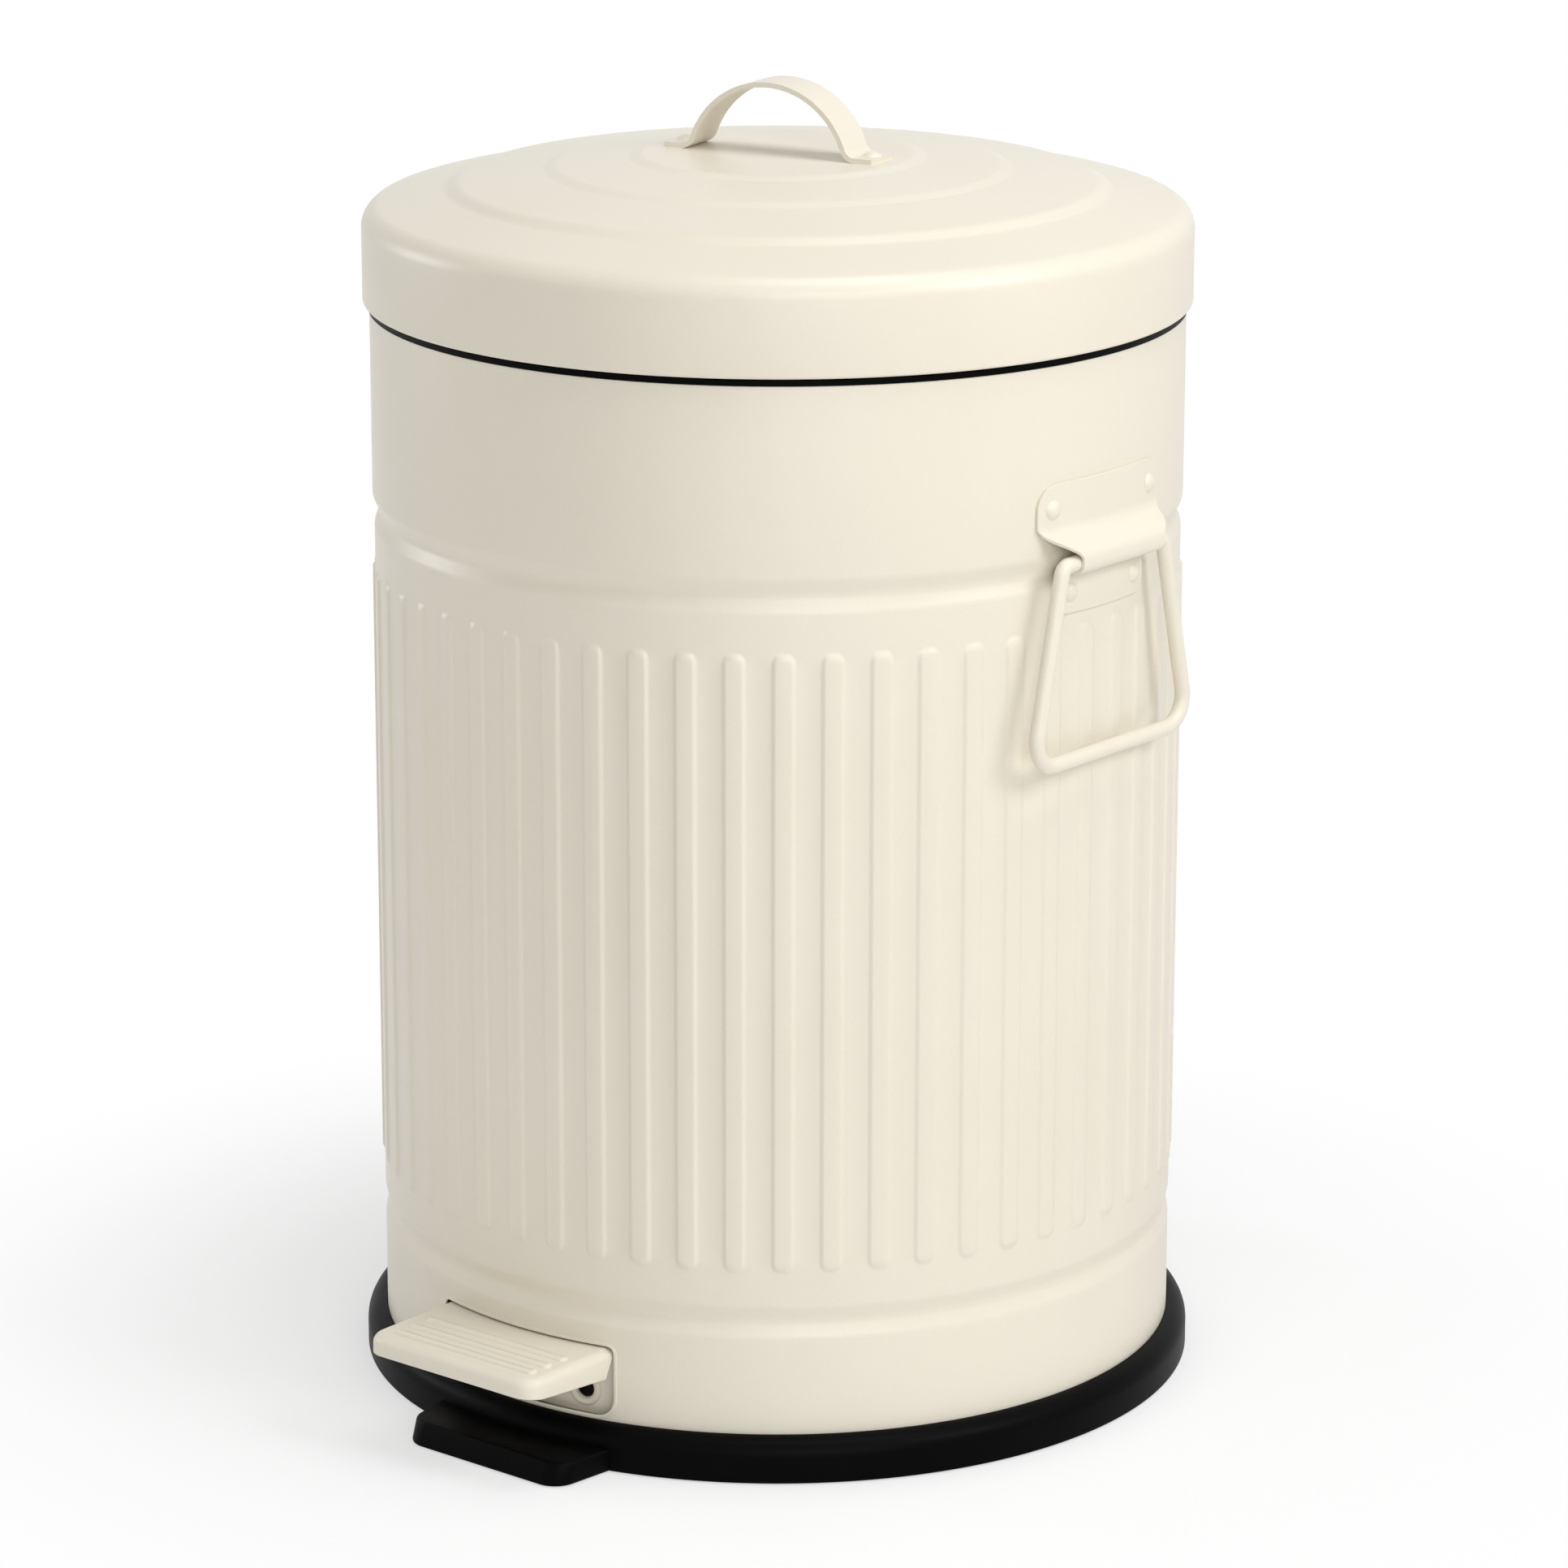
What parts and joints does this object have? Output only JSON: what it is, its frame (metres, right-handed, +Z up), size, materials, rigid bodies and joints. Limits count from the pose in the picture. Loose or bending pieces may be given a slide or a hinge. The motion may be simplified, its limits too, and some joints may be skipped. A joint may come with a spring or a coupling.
{
  "type": "pedal bin",
  "caption": "Round step bin in painted steel with a ribbed body, hinged domed lid, foot pedal, wire side bails and a lift-out inner bucket.",
  "frame": {"origin": "the body's axis at the floor", "axes": "+Z up, the pedal at -Y, the lid's hinge at +Y, the side bails at +X and -X"},
  "size_m": [0.3092, 0.3575, 0.4711],
  "materials": {
    "cream_paint": "satin cream powder coat on pressed steel",
    "black_plastic": "satin black moulded plastic",
    "black_rubber": "matt black rubber",
    "grey_plastic": "dark grey moulded plastic",
    "zinc_steel": "bright zinc plated steel"
  },
  "bodies": {
    "bin": {"body_shell": "cream_paint", "floor_pan": "zinc_steel", "base_ring": "black_plastic", "base_foot": "black_rubber", "base_screws": "zinc_steel", "rim_collar": "black_plastic", "lid_pads": "black_rubber", "handle_bracket_right": "cream_paint", "handle_bracket_left": "cream_paint", "bracket_rivets_right": "cream_paint", "bracket_rivets_left": "cream_paint", "hinge_bracket": "cream_paint", "hinge_bracket_rivets": "cream_paint", "hinge_pin": "zinc_steel", "rod_cover": "cream_paint", "rod_cover_rivets": "cream_paint", "rod_guide_lower": "black_plastic", "rod_guide_upper": "black_plastic", "pivot_bracket": "zinc_steel", "pivot_rivets": "zinc_steel", "pivot_pin": "zinc_steel", "inner_bucket": "grey_plastic"},
    "lid": {"lid_shell": "cream_paint", "lid_hinge_arm": "cream_paint", "lid_arm_rivets": "cream_paint", "lid_strap": "cream_paint", "lid_strap_rivets": "cream_paint"},
    "pedal": {"pedal_plate": "cream_paint", "pedal_lever": "zinc_steel", "pedal_rivet": "cream_paint"},
    "push_rod": {"push_rod": "zinc_steel", "rod_head": "black_plastic", "rod_foot": "black_plastic"},
    "bail_right": {"bail_right": "cream_paint"},
    "bail_left": {"bail_left": "cream_paint"},
    "bucket_bail": {"bucket_bail": "zinc_steel"}
  },
  "joints": [
    {"name": "lid_hinge", "type": "hinge", "parent": "bin", "child": "lid", "pos_m": [0, 0.168, 0.38], "axis": [-1, 0, 0], "range_deg": [0, 75]},
    {"name": "pedal_pivot", "type": "hinge", "parent": "bin", "child": "pedal", "pos_m": [0, 0, 0.026], "axis": [1, 0, 0], "range_deg": [0, 6.2]},
    {"name": "push_rod_slide", "type": "slide", "parent": "bin", "child": "push_rod", "axis": [0, 0, 1], "range_m": [0, 0.0168]},
    {"name": "bail_right_swing", "type": "hinge", "parent": "bin", "child": "bail_right", "pos_m": [0.1506, 0, 0.3226], "axis": [0, -1, 0], "range_deg": [0, 160]},
    {"name": "bail_left_swing", "type": "hinge", "parent": "bin", "child": "bail_left", "pos_m": [-0.1506, 0, 0.3226], "axis": [0, 1, 0], "range_deg": [0, 160]},
    {"name": "bucket_bail_swing", "type": "hinge", "parent": "bin", "child": "bucket_bail", "pos_m": [0, 0, 0.3967], "axis": [1, 0, 0], "range_deg": [0, 10]}
  ],
  "couplings": [
    {"joint": "pedal_pivot", "follows": "lid_hinge", "ratio": 0.082},
    {"joint": "push_rod_slide", "follows": "lid_hinge", "m_per_rad": 0.01268}
  ]
}
